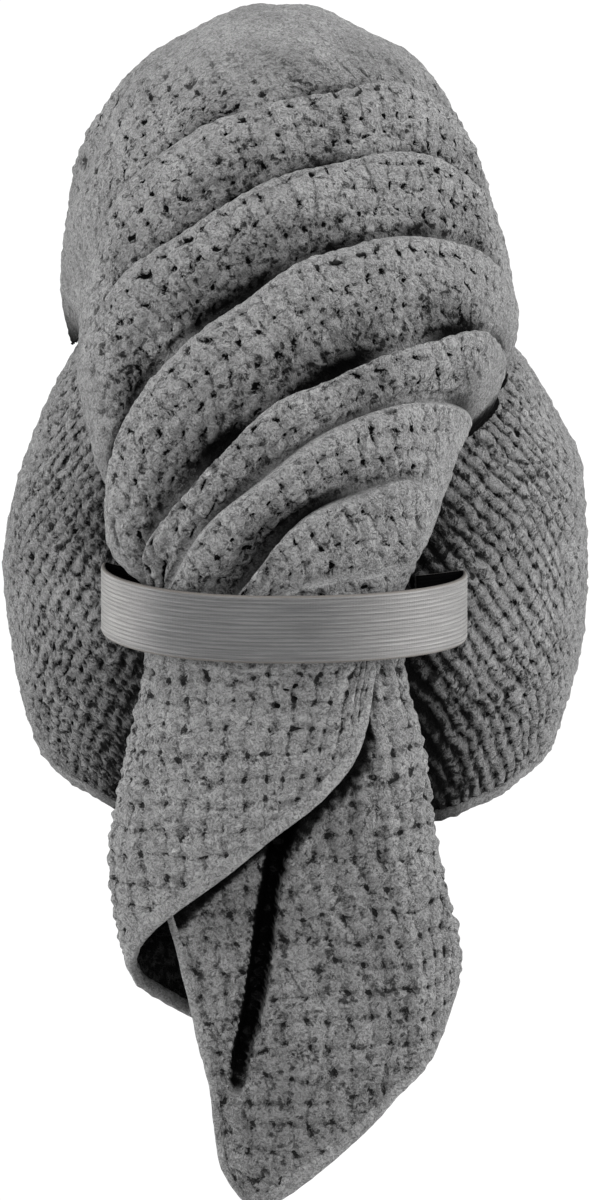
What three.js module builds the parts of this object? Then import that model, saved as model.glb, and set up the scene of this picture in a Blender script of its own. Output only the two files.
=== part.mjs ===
import * as THREE from "three";

// A hair turban towel as it is worn: hood, twist over the crown, elastic band and hanging tail.
// Millimetres, Z up. The back of the head faces -Y. The origin is the inside of the crown.

// Main sizes
const CLOTH = 4;
const HOOD_WIDTH = 206;
const HOOD_BACK = 102;
const HOOD_FRONT = 98;
const HOOD_LENGTH = 213;
const TWIST_WIDTH = 158;
const TWIST_RISE = 72;
const FOLD_DEPTH = 12;
const BAND_LEVEL = 124;
const BAND_HEIGHT = 22;
const BAND_THICK = 1.6;
const TAIL_WIDTH = 113;
const TAIL_LENGTH = 197;
const CREVICE_DEPTH = 15;
const FLAP_LAP = 7.5;
const HEM = 5;
const GAP = 0.4;
const SEAT = 1.2;

const DEG = Math.PI / 180;
const mix = THREE.MathUtils.lerp;
const clamp = THREE.MathUtils.clamp;
const ease = THREE.MathUtils.smoothstep;
const point = (x, y, z) => new THREE.Vector3(x, y, z);

// The value of one column of a table, read smoothly at a place along its key column
function along(rows, key, column, at) {
  const last = rows.length - 1;
  const place = clamp(at, rows[0][key], rows[last][key]);
  let i = 0;
  while (i < last - 1 && place >= rows[i + 1][key]) i += 1;
  const rate = (n) => {
    const j = clamp(n, 0, last - 1);
    return (rows[j + 1][column] - rows[j][column]) / (rows[j + 1][key] - rows[j][key]);
  };
  const slope = (n) => (n === 0 || n === last ? rate(n - (n === last)) : (rate(n - 1) + rate(n)) / 2);
  const span = rows[i + 1][key] - rows[i][key];
  const t = (place - rows[i][key]) / span;
  const bend = t * t * (t - 1) * span * slope(i + 1) + t * (t - 1) * (t - 1) * span * slope(i);
  return rows[i][column] + (rows[i + 1][column] - rows[i][column]) * t * t * (3 - 2 * t) + bend;
}

// Hood outline: half a width grows to its widest, then tucks in towards the hem
function bulge(drop, widest, tuck) {
  if (drop < widest) return Math.sqrt(Math.max(0, 1 - (1 - Math.max(0, drop) / widest) ** 2));
  return Math.sqrt(1 - Math.min(0.999, (drop - widest) / tuck) ** 2);
}

// How far the hood reaches sideways and backwards at a drop below the crown
function hoodReach(drop, towardsBack) {
  const side = (HOOD_WIDTH / 2) * bulge(drop, 0.6 * HOOD_LENGTH, 0.6 * HOOD_LENGTH);
  const back = HOOD_BACK * bulge(drop, 0.493 * HOOD_LENGTH, 0.634 * HOOD_LENGTH);
  const front = HOOD_FRONT * bulge(drop, 0.47 * HOOD_LENGTH, 0.892 * HOOD_LENGTH);
  return { side, depth: towardsBack ? back : front };
}

// Hem height round the head, degrees from the back, drop as a share of the hood's length
const HOOD_EDGE = [
  { turn: 0, drop: 1.0 },
  { turn: 45, drop: 0.965 },
  { turn: 90, drop: 0.853 },
  { turn: 120, drop: 0.73 },
  { turn: 150, drop: 0.432 },
  { turn: 180, drop: 0.31 },
];

// Soft gathers of the hood's back below the band, each a shallow valley that runs to the hem
const HOOD_GATHERS = [
  { turn: -58, width: 7, depth: 1.6 },
  { turn: -42, width: 6, depth: 2.4 },
  { turn: -28, width: 5, depth: 2.2 },
  { turn: 26, width: 5, depth: 2.2 },
  { turn: 38, width: 5, depth: 2.8 },
  { turn: 50, width: 6, depth: 2.4 },
  { turn: 66, width: 7, depth: 1.6 },
];

function gather(turn, drop) {
  const grown = ease(drop, 0.66 * HOOD_LENGTH, 0.93 * HOOD_LENGTH);
  let depth = 0;
  for (const fold of HOOD_GATHERS) {
    depth += fold.depth * Math.exp(-(((turn - fold.turn) / fold.width) ** 2));
  }
  return depth * grown;
}

// A soft bump where the hood passes over the ear on one side
const EAR = { turn: 84, width: 22, level: 0.375, height: 0.075, out: 5 };

// The hood's outside: turn in degrees from the back towards +X, v from the crown to the hem
function hoodOutside(turn, v) {
  const edge = HOOD_LENGTH * along(HOOD_EDGE, "turn", "drop", Math.abs(turn));
  const drop = edge * (1 - Math.cos(v * 90 * DEG));
  const reach = hoodReach(drop, Math.abs(turn) < 90);
  const nearEar = ((turn - EAR.turn) / EAR.width) ** 2 + ((drop / HOOD_LENGTH - EAR.level) / EAR.height) ** 2;
  const inward = gather(turn, drop) - EAR.out * Math.exp(-nearEar);
  const x = (reach.side - inward) * Math.sin(turn * DEG);
  const y = -(reach.depth - inward) * Math.cos(turn * DEG);
  return point(x, y, CLOTH - drop);
}

// A point of a surface moved along its own normal, which is measured from its neighbours
function offset(surface, u, v, du, dv, distance) {
  const across = surface(u + du, v).sub(surface(u - du, v));
  const down = surface(u, v + dv).sub(surface(u, v - dv));
  const normal = down.cross(across).normalize();
  return surface(u, v).addScaledVector(normal, distance);
}

function hoodWall(turn, v, distance) {
  const wrapped = (t, w) => hoodOutside(t > 180 ? t - 360 : t < -180 ? t + 360 : t, w);
  return offset(wrapped, turn, v, 0.5, 0.004, distance);
}

// Closed skins are gathered as points and triangles
function skin() {
  const points = [];
  const faces = [];
  const add = (p) => points.push(p) - 1;
  const quad = (a, b, c, d) => faces.push([a, b, c], [a, c, d]);
  const fan = (ring, centre, flip) => {
    for (let i = 0; i < ring.length; i += 1) {
      const next = ring[(i + 1) % ring.length];
      faces.push(flip ? [centre, next, ring[i]] : [centre, ring[i], next]);
    }
  };
  const join = (ringA, ringB, closed) => {
    const count = ringA.length - (closed ? 0 : 1);
    for (let i = 0; i < count; i += 1) {
      const next = (i + 1) % ringA.length;
      quad(ringA[i], ringB[i], ringB[next], ringA[next]);
    }
  };
  return { points, faces, add, quad, fan, join };
}

// A named mesh from a skin, with its faces turned outwards
function solid(name, made, colour) {
  let volume = 0;
  for (const [a, b, c] of made.faces) {
    const side = made.points[b].clone().cross(made.points[c]);
    volume += made.points[a].dot(side);
  }
  const geometry = new THREE.BufferGeometry();
  geometry.setAttribute(
    "position",
    new THREE.Float32BufferAttribute(made.points.flatMap((p) => [p.x, p.y, p.z]), 3),
  );
  geometry.setIndex(made.faces.flatMap(([a, b, c]) => (volume < 0 ? [a, c, b] : [a, b, c])));
  geometry.computeVertexNormals();
  const material = new THREE.MeshStandardMaterial({ color: colour, roughness: 0.95 });
  const mesh = new THREE.Mesh(geometry, material);
  mesh.name = name;
  return mesh;
}

// Hood: one dome of cloth, closed over the crown and open at the face and the neck
const HOOD_COLUMNS = 48;
const HOOD_ROWS = 18;

function hemShare(turn) {
  const edge = HOOD_LENGTH * along(HOOD_EDGE, "turn", "drop", Math.abs(turn));
  return HEM / (edge * 90 * DEG);
}

function hoodTurns() {
  return Array.from({ length: HOOD_COLUMNS }, (_, i) => (i * 360) / HOOD_COLUMNS - 180);
}

function makeHood() {
  const made = skin();
  const turns = hoodTurns();
  const layer = (distance) => {
    const rings = [];
    for (let row = 1; row <= HOOD_ROWS; row += 1) {
      rings.push(
        turns.map((turn) => {
          const end = 1 - hemShare(turn);
          return made.add(hoodWall(turn, (end * row) / HOOD_ROWS, distance));
        }),
      );
    }
    return rings;
  };
  const outer = layer(0);
  const inner = layer(-CLOTH);
  made.fan(outer[0], made.add(point(0, 0, CLOTH)), false);
  made.fan(inner[0], made.add(point(0, 0, 0)), true);
  for (let row = 1; row < HOOD_ROWS; row += 1) {
    made.join(outer[row - 1], outer[row], true);
    made.join(inner[row], inner[row - 1], true);
  }
  made.join(outer[HOOD_ROWS - 1], inner[HOOD_ROWS - 1], true);
  return solid("hood", made, 0x8b8b8b);
}

// Rounded section of a turned hem: how far in from the edge, and how far out of the cloth
const HEM_SECTION = [
  { inset: 0.88, rise: 0.1 },
  { inset: 0.45, rise: 0.16 },
  { inset: 0.04, rise: -0.16 },
  { inset: 0.04, rise: -0.84 },
  { inset: 0.45, rise: -1.16 },
  { inset: 0.88, rise: -1.1 },
];

function makeHoodHem() {
  const made = skin();
  const rings = hoodTurns().map((turn) =>
    HEM_SECTION.map(({ inset, rise }) => {
      const v = 1 - hemShare(turn) * inset;
      return made.add(hoodWall(turn, v, rise * CLOTH));
    }),
  );
  rings.forEach((ring, i) => made.join(ring, rings[(i + 1) % rings.length], true));
  return solid("hood_hem", made, 0x777777);
}

// Twist: its sections stand in planes that fan out from a level line through the head
// at the band's height. Turn is in degrees from straight up towards the back.
const TWIST_PATH = [
  { turn: -50, rise: 0.1, wide: 0.3, deep: 0.2, lean: -0.02 },
  { turn: -44, rise: 0.42, wide: 0.56, deep: 0.45, lean: -0.02 },
  { turn: -31, rise: 0.82, wide: 0.8, deep: 0.85, lean: -0.03 },
  { turn: -13, rise: 1.04, wide: 0.93, deep: 1.2, lean: -0.05 },
  { turn: 2, rise: 1.07, wide: 0.975, deep: 1.28, lean: -0.07 },
  { turn: 20, rise: 0.98, wide: 0.94, deep: 1.2, lean: 0.005 },
  { turn: 39, rise: 0.82, wide: 0.945, deep: 0.98, lean: -0.005 },
  { turn: 54, rise: 0.75, wide: 0.87, deep: 0.72, lean: -0.04 },
  { turn: 61, rise: 0.73, wide: 0.785, deep: 0.64, lean: -0.09 },
  { turn: 71, rise: 0.72, wide: 0.73, deep: 0.5, lean: -0.105 },
  { turn: 80, rise: 0.71, wide: 0.665, deep: 0.39, lean: -0.1 },
  { turn: 86, rise: 0.68, wide: 0.55, deep: 0.32, lean: -0.083 },
  { turn: 90, rise: 0.68, wide: 0.535, deep: 0.32, lean: -0.073 },
];

// Turn of each crease between two folds at five places across the twist, left to right
const CREASES = [
  { left: -50, leftish: -50, middle: -50, rightish: -50, right: -50 },
  { left: -31, leftish: -34.5, middle: -38, rightish: -41.5, right: -45 },
  { left: -18, leftish: -22, middle: -27, rightish: -33, right: -40 },
  { left: -3, leftish: -8, middle: -14, rightish: -21, right: -30 },
  { left: 11, leftish: 7, middle: 2, rightish: -6, right: -16 },
  { left: 21, leftish: 25.3, middle: 24.3, rightish: 13.8, right: 3.5 },
  { left: 42.9, leftish: 40.5, middle: 34.2, rightish: 24.6, right: 14.9 },
  { left: 73.7, leftish: 56.9, middle: 45.5, rightish: 36.1, right: 27.5 },
  { left: 93, leftish: 76.6, middle: 63, rightish: 51.5, right: 38.7 },
  { left: 99, leftish: 84, middle: 70.5, rightish: 60.2, right: 55.9 },
  { left: 140, leftish: 106, middle: 79.5, rightish: 71, right: 71 },
  { left: 155, leftish: 120, middle: 90, rightish: 84, right: 82 },
  { left: 170, leftish: 170, middle: 170, rightish: 170, right: 170 },
];

// How deep each of those creases is at the left side, the middle and the right side
const CREASE_DEPTHS = [
  { left: 0, middle: 0, right: 0 },
  { left: 0.4, middle: 0.4, right: 0.4 },
  { left: 0.5, middle: 0.5, right: 0.5 },
  { left: 0.2, middle: 0.35, right: 0.3 },
  { left: 0.05, middle: 0.25, right: 0.3 },
  { left: 0.2, middle: 0.9, right: 0.7 },
  { left: 0.6, middle: 1.05, right: 0.3 },
  { left: 0.8, middle: 1.1, right: 0.4 },
  { left: 0.2, middle: 1.15, right: 0.8 },
  { left: 0, middle: 0.6, right: 0.8 },
  { left: 0.9, middle: 1.1, right: 0.05 },
  { left: 0.1, middle: 0.2, right: 0.2 },
  { left: 0, middle: 0, right: 0 },
];

// One fold from its upper crease to its lower one: a proud rounded lip, then a slow tuck
const FOLD_PROFILE = [
  { place: 0.0, sink: 1.0 },
  { place: 0.08, sink: 0.3 },
  { place: 0.24, sink: 0.0 },
  { place: 0.55, sink: 0.22 },
  { place: 0.85, sink: 0.62 },
];

const TWIST_COLUMNS = 32;

function fanPoint(x, turn, radius) {
  return point(x, -radius * Math.sin(turn * DEG), radius * Math.cos(turn * DEG) - BAND_LEVEL);
}

function insideHood(p) {
  const drop = CLOTH - p.z;
  if (drop <= 0) return false;
  const reach = hoodReach(drop, p.y < 0);
  return (p.x / reach.side) ** 2 + (p.y / reach.depth) ** 2 < 1;
}

// Distance from the level line to the hood's outside
function hoodRadius(x, turn) {
  let low = 0;
  let high = 2 * HOOD_LENGTH;
  for (let step = 0; step < 30; step += 1) {
    const middle = (low + high) / 2;
    if (insideHood(fanPoint(x, turn, middle))) low = middle;
    else high = middle;
  }
  return low;
}

function twistSection(turn) {
  const lean = (along(TWIST_PATH, "turn", "lean", turn) * TWIST_WIDTH) / 2;
  const rise = along(TWIST_PATH, "turn", "rise", turn) * TWIST_RISE;
  return {
    lean,
    outer: hoodRadius(lean, turn) + rise,
    wide: (along(TWIST_PATH, "turn", "wide", turn) * TWIST_WIDTH) / 2,
    deep: along(TWIST_PATH, "turn", "deep", turn) * TWIST_RISE,
  };
}

// Turn of a crease at an angle round the section, 0 on the outer face and positive towards +X
function creaseTurn(crease, angle) {
  const side = clamp(angle / 90, -1, 1);
  const mean = (crease.left + crease.right) / 2;
  const turns = [crease.left, crease.leftish, crease.middle, crease.rightish, crease.right];
  const stops = turns.map((turn, i) => ({ side: i / 2 - 1, turn }));
  const seen = along(stops, "side", "turn", side);
  const hidden = ease(Math.abs(angle), 100, 170);
  const turn = mix(seen, mean, hidden);
  return turn < 80 ? turn : 90 - 10 * Math.exp((80 - turn) / 10);
}

function creaseDepth(depths, angle) {
  const side = clamp(angle / 90, -1, 1);
  return mix(depths.middle, side < 0 ? depths.left : depths.right, Math.abs(side));
}

function twistSurface(turn, angle, sink) {
  const section = twistSection(turn);
  const x = section.lean + (section.wide - 0.4 * sink) * Math.sin(angle * DEG);
  const radius = section.outer - section.deep + (section.deep - sink) * Math.cos(angle * DEG);
  const seat = hoodRadius(x, turn) + SEAT;
  return fanPoint(x, turn, Math.max(radius, seat));
}

function makeTwist() {
  const made = skin();
  const rings = [];
  const angles = Array.from({ length: TWIST_COLUMNS }, (_, i) => (i * 360) / TWIST_COLUMNS - 180);
  CREASES.slice(0, -1).forEach((crease, i) => {
    const next = CREASES[i + 1];
    for (const { place, sink } of FOLD_PROFILE) {
      rings.push(
        angles.map((angle) => {
          const turn = mix(creaseTurn(crease, angle), creaseTurn(next, angle), place);
          const seen = 1 - ease(Math.abs(angle), 95, 140);
          const free = 1 - ease(turn, 84, 89.5);
          const above = creaseDepth(CREASE_DEPTHS[i], angle);
          const below = creaseDepth(CREASE_DEPTHS[i + 1], angle);
          const depth = mix(above, below, ease(place, 0.2, 0.85));
          return made.add(twistSurface(turn, angle, FOLD_DEPTH * sink * depth * seen * free));
        }),
      );
    }
  });
  rings.push(angles.map((angle) => made.add(twistSurface(90, angle, 0))));
  for (let i = 1; i < rings.length; i += 1) made.join(rings[i - 1], rings[i], true);
  const centre = (ring) => {
    const sum = point(0, 0, 0);
    for (const index of ring) sum.add(made.points[index]);
    return made.add(sum.divideScalar(ring.length));
  };
  made.fan(rings[0], centre(rings[0]), false);
  made.fan(rings.at(-1), centre(rings.at(-1)), true);
  return solid("crown_twist", made, 0x858585);
}

// Elastic band: a flat strap that springs from the hood, passes over the twist and returns
const BAND_STATIONS = 40;
const BAND_SAG = 2.5;
const UNDER_BAND = twistSection(90);
const BAND_MIDDLE = 0.64 * UNDER_BAND.lean;
const BAND_HALF = 0.38 * TWIST_WIDTH;

function hoodBackAt(x, z) {
  const reach = hoodReach(CLOTH - z, true);
  return -reach.depth * Math.sqrt(Math.max(0, 1 - (x / reach.side) ** 2));
}

// Stations from the left tab to the right one; a tab lies on the hood under the strap's end
function bandPath() {
  const backs = [84, 86, 88, 90].map((turn) => twistSection(turn).outer * Math.sin(turn * DEG));
  const out = Math.max(...backs) + GAP;
  const tab = (hand) => [0.74, 0.82, 0.9].map((share) => ({ x: BAND_MIDDLE + hand * BAND_HALF * share }));
  const root = (hand) => hoodBackAt(BAND_MIDDLE + hand * BAND_HALF, -BAND_LEVEL) - 3;
  const strap = Array.from({ length: BAND_STATIONS + 1 }, (_, i) => {
    const t = (i / BAND_STATIONS) * Math.PI;
    const side = -Math.cos(t);
    const x = BAND_MIDDLE + BAND_HALF * Math.sign(side) * Math.abs(side) ** (2 / 2.8);
    const start = mix(root(-1), root(1), i / BAND_STATIONS);
    return { x, y: start - (out + start) * Math.sin(t) ** (2 / 2.8) };
  });
  return [...tab(-1), ...strap, ...tab(1).reverse()];
}

function makeBand() {
  const made = skin();
  const path = bandPath();
  const placed = (station) => station.y ?? hoodBackAt(station.x, -BAND_LEVEL) - SEAT - BAND_THICK;
  const rings = path.map((here, i) => {
    const before = path[Math.max(0, i - 1)];
    const after = path[Math.min(path.length - 1, i + 1)];
    const dx = after.x - before.x;
    const dy = placed(after) - placed(before);
    const outwards = point(dy, -dx, 0).setLength(BAND_THICK);
    const reach = (here.x - BAND_MIDDLE) / BAND_HALF;
    const z = -BAND_LEVEL - 1 + BAND_SAG * reach * reach;
    const edge = (share) => {
      const level = z + share * BAND_HEIGHT;
      return point(here.x, here.y ?? hoodBackAt(here.x, level) - SEAT - BAND_THICK, level);
    };
    const corners = [edge(-0.5), edge(0.5), edge(0.5).add(outwards), edge(-0.5).add(outwards)];
    return corners.map((corner) => made.add(corner));
  });
  for (let i = 1; i < rings.length; i += 1) made.join(rings[i - 1], rings[i], true);
  made.quad(...rings[0]);
  made.quad(...[...rings.at(-1)].reverse());
  return solid("elastic_band", made, 0x8f8e8c);
}

// Tail: one cloth wrapped round itself, its flap over the front. Turn is in degrees from the
// back of the wearer's head outwards; it passes 360 where the flap covers the start.
const TAIL_TOP = -BAND_LEVEL - GAP;
const TAIL_DEPTH = UNDER_BAND.outer - hoodRadius(0, 90) - 2;
const TAIL_MIDDLE = -(UNDER_BAND.outer - 0.2 - TAIL_DEPTH / 2);

// Shape by level, a share of the tail's length: middle line, half width and half depth
const TAIL_LEVELS = [
  { level: 0.0, lean: -0.113, wide: 0.775, deep: 1.0 },
  { level: 0.07, lean: -0.113, wide: 0.775, deep: 1.0 },
  { level: 0.226, lean: -0.113, wide: 0.9, deep: 1.0 },
  { level: 0.4, lean: -0.113, wide: 0.99, deep: 0.93 },
  { level: 0.578, lean: -0.007, wide: 1.0, deep: 0.83 },
  { level: 0.663, lean: 0.025, wide: 0.935, deep: 0.72 },
  { level: 0.85, lean: 0.028, wide: 0.8, deep: 0.52 },
  { level: 1.0, lean: 0.03, wide: 0.72, deep: 0.42 },
];

// Lower edge of the cloth, from the tip round the back and up the flap's free edge
const TAIL_EDGE = [
  { turn: -60, level: 1.0 },
  { turn: -40, level: 0.982 },
  { turn: -20, level: 0.946 },
  { turn: 0, level: 0.902 },
  { turn: 20, level: 0.854 },
  { turn: 40, level: 0.799 },
  { turn: 60, level: 0.755 },
  { turn: 90, level: 0.638 },
  { turn: 135, level: 0.7 },
  { turn: 180, level: 0.79 },
  { turn: 210, level: 0.715 },
  { turn: 240, level: 0.657 },
  { turn: 270, level: 0.61 },
  { turn: 308, level: 0.52 },
  { turn: 341, level: 0.427 },
  { turn: 361, level: 0.352 },
  { turn: 379, level: 0.286 },
  { turn: 395, level: 0.206 },
  { turn: 411, level: 0.075 },
];

// The inner edge drifts to the right on its way down to the tip
const START_DRIFT = [
  { v: 0.0, turn: 0 },
  { v: 0.42, turn: 3 },
  { v: 0.54, turn: 8 },
  { v: 0.68, turn: 15 },
  { v: 0.79, turn: 20 },
  { v: 0.86, turn: 20 },
  { v: 0.93, turn: 22 },
  { v: 1.0, turn: 36 },
];

// The deep crease between the middle panel and the right one, and half its angle
const CREVICE_HALF = 4.4;
const CREVICE = [
  { v: 0.0, turn: 12, depth: 0.2 },
  { v: 0.3, turn: 8, depth: 0.7 },
  { v: 0.38, turn: 2, depth: 1 },
  { v: 0.46, turn: -3.7, depth: 1 },
  { v: 0.54, turn: -12, depth: 1 },
  { v: 0.62, turn: -21.2, depth: 1 },
  { v: 0.7, turn: -31.3, depth: 0.9 },
  { v: 0.77, turn: -40, depth: 0.45 },
  { v: 0.82, turn: -44, depth: 0 },
  { v: 1.0, turn: -46, depth: 0 },
];

function tailOutside(turn, v) {
  const end = along(TAIL_EDGE, "turn", "level", turn);
  const level = end * v;
  const lean = (along(TAIL_LEVELS, "level", "lean", level) * TAIL_WIDTH) / 2;
  const wide = (along(TAIL_LEVELS, "level", "wide", level) * TAIL_WIDTH) / 2;
  const deep = (along(TAIL_LEVELS, "level", "deep", level) * TAIL_DEPTH) / 2;
  const start = turn < 60 ? (60 - turn) / 120 : 0;
  const round = turn + along(START_DRIFT, "v", "turn", v) * start;
  const under = (1 - ease(turn, 52, 100)) * (1 - ease(level, 0.52, 0.75));
  const lap = FLAP_LAP * under;
  const place = along(CREVICE, "v", "turn", v);
  const valley = Math.max(0, 1 - Math.abs(turn - place) / CREVICE_HALF);
  const sink = CREVICE_DEPTH * along(CREVICE, "v", "depth", v) * valley ** 0.7;
  const x = lean + (wide - lap) * Math.sin(round * DEG);
  const y = TAIL_MIDDLE - (deep - lap - Math.min(sink, deep * 0.8)) * Math.cos(round * DEG);
  return point(x, y, TAIL_TOP - level * TAIL_LENGTH);
}

function tailWall(turn, v, distance) {
  return offset(tailOutside, turn, v, 0.6, 0.01, distance);
}

// Columns follow the crease, so that its bottom and both lips lie on mesh edges
function tailTurn(column, v) {
  const place = along(CREVICE, "v", "turn", v);
  const stops = [-60, place - CREVICE_HALF, place, place + CREVICE_HALF, 60];
  if (column >= 4) return 60 + (column - 4) * 13;
  const i = Math.min(3, Math.floor(column));
  return mix(stops[i], stops[i + 1], column - i);
}

const TAIL_ROWS = 16;
const TAIL_COLUMNS = [
  0, 0.33, 0.66, 1, 1.5, 2, 2.5, 3, 3.15, 3.3, 3.5, 3.75,
  ...Array.from({ length: 28 }, (_, i) => 4 + i),
];

// The sheet's ends and the width of its hem there, in degrees
const TAIL_START = -60;
const TAIL_END = 411;
const HEM_TURN = 6;

// Share of a column's length that the hem takes: more where the lower edge is steep
function hemDrop(turn) {
  const length = (at) => TAIL_LENGTH * along(TAIL_EDGE, "turn", "level", at);
  const fall = (length(turn + 2) - length(turn - 2)) / 4;
  const arc = Math.hypot(TAIL_WIDTH * Math.cos(turn * DEG), TAIL_DEPTH * Math.sin(turn * DEG)) / 2;
  return (HEM / length(turn)) * Math.min(2, Math.hypot(1, fall / (arc * DEG)));
}

// Turn of a mesh column, drawn in at both ends to leave room for the hem
function sheetTurn(column, v) {
  const turn = clamp(tailTurn(column, v), TAIL_START, TAIL_END);
  const start = 1 - ease(turn, TAIL_START, TAIL_START + 15);
  const end = ease(turn, TAIL_END - 30, TAIL_END);
  return turn + HEM_TURN * (start - end);
}

function makeTail() {
  const made = skin();
  const layer = (distance) =>
    Array.from({ length: TAIL_ROWS + 1 }, (_, row) =>
      TAIL_COLUMNS.map((column) => {
        const turn = sheetTurn(column, row / TAIL_ROWS);
        return made.add(tailWall(turn, (row / TAIL_ROWS) * (1 - hemDrop(turn)), distance));
      }),
    );
  const outer = layer(0);
  const inner = layer(-CLOTH);
  for (let row = 1; row <= TAIL_ROWS; row += 1) {
    made.join(outer[row - 1], outer[row], false);
    made.join(inner[row], inner[row - 1], false);
    made.quad(outer[row - 1][0], inner[row - 1][0], inner[row][0], outer[row][0]);
    made.quad(inner[row - 1].at(-1), outer[row - 1].at(-1), outer[row].at(-1), inner[row].at(-1));
  }
  made.join(inner[0], outer[0], false);
  made.join(outer[TAIL_ROWS], inner[TAIL_ROWS], false);
  return solid("tail", made, 0x8b8b8b);
}

// The tail's hem runs down the inner edge, round the bottom and up the flap's short end.
// Run is the share of the way along the bottom, v the share of the way down a side.
function hemPath() {
  const first = TAIL_START + HEM_TURN;
  const last = TAIL_END - HEM_TURN;
  const side = Array.from({ length: TAIL_ROWS }, (_, row) => ({ run: 0, v: row / TAIL_ROWS }));
  const bottom = TAIL_COLUMNS.map((column) => ({ run: (sheetTurn(column, 1) - first) / (last - first), v: 1 }));
  return [...side, ...bottom, { run: 1, v: 0.5 }, { run: 1, v: 0 }];
}

function hemPoint({ run, v }, inset, rise) {
  const turn = mix(TAIL_START + HEM_TURN * inset, TAIL_END - HEM_TURN * inset, run);
  return tailWall(turn, v * (1 - inset * hemDrop(turn)), rise * CLOTH);
}

function makeTailHem() {
  const made = skin();
  const rings = hemPath().map((station) =>
    HEM_SECTION.map(({ inset, rise }) => made.add(hemPoint(station, inset, rise))),
  );
  for (let i = 1; i < rings.length; i += 1) made.join(rings[i - 1], rings[i], true);
  const close = (ring) => {
    made.quad(ring[0], ring[1], ring[2], ring[3]);
    made.quad(ring[0], ring[3], ring[4], ring[5]);
  };
  close(rings[0]);
  close([...rings.at(-1)].reverse());
  return solid("tail_hem", made, 0x777777);
}

const group = new THREE.Group();
group.add(makeHood(), makeHoodHem(), makeTwist(), makeBand(), makeTail(), makeTailHem());
export default group;
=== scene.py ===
import bpy
import math
import numpy as np
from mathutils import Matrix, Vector


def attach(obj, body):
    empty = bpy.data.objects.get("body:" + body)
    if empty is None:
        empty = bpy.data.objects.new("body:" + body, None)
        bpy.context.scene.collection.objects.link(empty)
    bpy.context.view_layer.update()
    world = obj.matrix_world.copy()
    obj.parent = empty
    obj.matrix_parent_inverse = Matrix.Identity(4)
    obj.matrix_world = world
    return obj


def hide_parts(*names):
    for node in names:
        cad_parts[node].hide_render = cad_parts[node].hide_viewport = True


# A grey waffle hair turban towel, shown worn from the back of the head, on a white ground.
# The shapes are worked out in millimetres and scaled to metres when a mesh is made.

CLOTH = 4.0
HOOD_WIDTH = 206.0
HOOD_BACK = 102.0
HOOD_FRONT = 98.0
HOOD_LENGTH = 213.0
TWIST_WIDTH = 158.0
TWIST_RISE = 72.0
FOLD_DEPTH = 12.0
BAND_LEVEL = 124.0
BAND_HEIGHT = 22.0
BAND_THICK = 1.6
TAIL_WIDTH = 113.0
TAIL_LENGTH = 197.0
CREVICE_DEPTH = 15.0
FLAP_LAP = 7.5
HEM = 5.0
GAP = 0.4
SEAT = 1.2
CELL_WIDE = 7.8
CELL_TALL = 9.0
RIB_TALL = 5.8
PUFF = 1.15
BAND_RIBS = 16
BAND_LINES = 81
SHADE_BLACK = (0.004, 0.004, 0.004)
DEG = math.pi / 180

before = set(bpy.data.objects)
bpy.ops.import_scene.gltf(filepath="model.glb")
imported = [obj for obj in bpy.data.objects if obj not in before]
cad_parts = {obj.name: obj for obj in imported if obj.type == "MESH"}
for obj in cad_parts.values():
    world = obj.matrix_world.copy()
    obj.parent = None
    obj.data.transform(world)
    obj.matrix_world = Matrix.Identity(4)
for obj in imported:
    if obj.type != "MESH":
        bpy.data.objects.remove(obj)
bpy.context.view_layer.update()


def table(names, rows):
    """Rows of numbers as named columns."""
    return dict(zip(names.split(), np.array(rows, float).T))


def along(tab, key, column, at):
    """A column of a table, read smoothly at places along its key column."""
    k = tab[key]
    v = tab[column]
    at = np.clip(np.asarray(at, float), k[0], k[-1])
    i = np.clip(np.searchsorted(k, at, side="right") - 1, 0, len(k) - 2)
    rate = np.diff(v) / np.diff(k)
    slope = np.concatenate([rate[:1], (rate[:-1] + rate[1:]) / 2, rate[-1:]])
    span = k[i + 1] - k[i]
    t = (at - k[i]) / span
    bend = t * t * (t - 1) * span * slope[i + 1] + t * (t - 1) ** 2 * span * slope[i]
    return v[i] + (v[i + 1] - v[i]) * t * t * (3 - 2 * t) + bend


def ease(x, low, high):
    """A soft step from 0 at low to 1 at high."""
    t = np.clip((np.asarray(x, float) - low) / (high - low), 0, 1)
    return t * t * (3 - 2 * t)


def mix(a, b, t):
    return a + (b - a) * t


def lumps(points, size, seed):
    """A smooth wandering field between about -1 and 1 with features of the given size."""
    rng = np.random.RandomState(seed)
    total = 0.0
    for _ in range(14):
        way = rng.normal(size=3)
        way *= 2 * math.pi / (size * rng.uniform(0.7, 1.5) * np.linalg.norm(way))
        total = total + np.sin(points @ way + rng.uniform(0, 2 * math.pi))
    return total / 3.6


def grid_normals(grid, closed):
    """Unit normals of a grid of points; rows run down and columns across."""
    down = np.gradient(grid, axis=0)
    if closed:
        across = (np.roll(grid, -1, axis=1) - np.roll(grid, 1, axis=1)) / 2
    else:
        across = np.gradient(grid, axis=1)
    n = np.cross(down, across)
    return n / (np.linalg.norm(n, axis=2, keepdims=True) + 1e-9)


def tufts(points, seed):
    """Small uneven lumps of the pile, a few millimetres across."""
    rng = np.random.RandomState(seed)
    total = 0.0
    for _ in range(26):
        way = rng.normal(size=3)
        way *= 2 * math.pi / (rng.uniform(2.9, 6.0) * np.linalg.norm(way))
        total = total + np.sin(points @ way + rng.uniform(0, 2 * math.pi))
    return total / 5


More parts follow.
